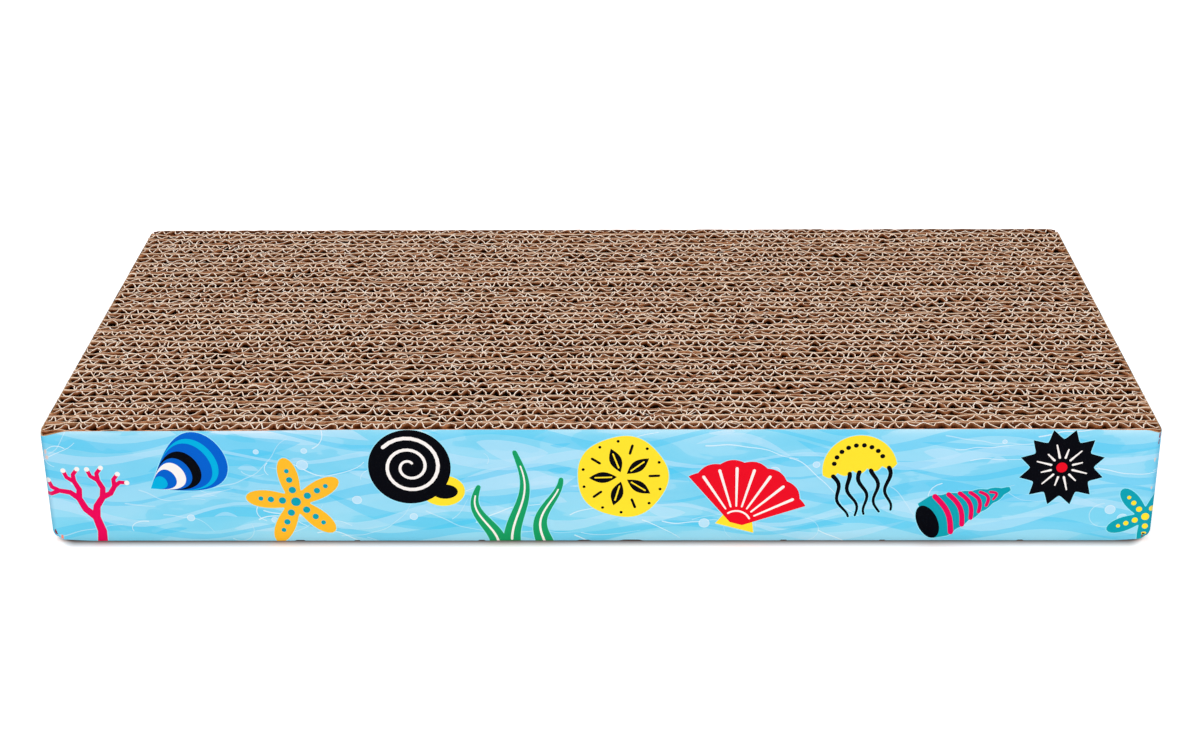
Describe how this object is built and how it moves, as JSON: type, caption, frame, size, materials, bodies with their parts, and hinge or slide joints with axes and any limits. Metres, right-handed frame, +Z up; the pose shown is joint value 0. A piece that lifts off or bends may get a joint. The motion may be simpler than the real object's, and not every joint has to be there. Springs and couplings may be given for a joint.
{
  "type": "cardboard cat scratcher",
  "caption": "Flat reversible cat scratching pad of corrugated cardboard strips on edge, glued face to face inside a folded kraft band with a printed paper facing.",
  "frame": {"origin": "centre of the underside, on the surface that the pad lies on", "axes": "+X along the strips, -Y towards the front with the unbroken print, +Z up through the pad"},
  "size_m": [0.44, 0.2202, 0.05],
  "materials": {
    "corrugated_core": "matte",
    "glue": "satin",
    "kraft_band": "matte",
    "printed_paper": "satin"
  },
  "bodies": {
    "root": {"strip_01": "corrugated_core", "strip_02": "corrugated_core", "strip_03": "corrugated_core", "strip_04": "corrugated_core", "strip_05": "corrugated_core", "strip_06": "corrugated_core", "strip_07": "corrugated_core", "strip_08": "corrugated_core", "strip_09": "corrugated_core", "strip_10": "corrugated_core", "strip_11": "corrugated_core", "strip_12": "corrugated_core", "strip_13": "corrugated_core", "strip_14": "corrugated_core", "strip_15": "corrugated_core", "strip_16": "corrugated_core", "strip_17": "corrugated_core", "strip_18": "corrugated_core", "strip_19": "corrugated_core", "strip_20": "corrugated_core", "strip_21": "corrugated_core", "strip_22": "corrugated_core", "strip_23": "corrugated_core", "strip_24": "corrugated_core", "strip_25": "corrugated_core", "strip_26": "corrugated_core", "strip_27": "corrugated_core", "strip_28": "corrugated_core", "strip_29": "corrugated_core", "strip_30": "corrugated_core", "strip_31": "corrugated_core", "strip_32": "corrugated_core", "strip_33": "corrugated_core", "strip_34": "corrugated_core", "strip_35": "corrugated_core", "strip_36": "corrugated_core", "glue_lines": "glue", "sleeve_glue": "glue", "sleeve_board": "kraft_band", "printed_facing": "printed_paper"}
  },
  "joints": []
}
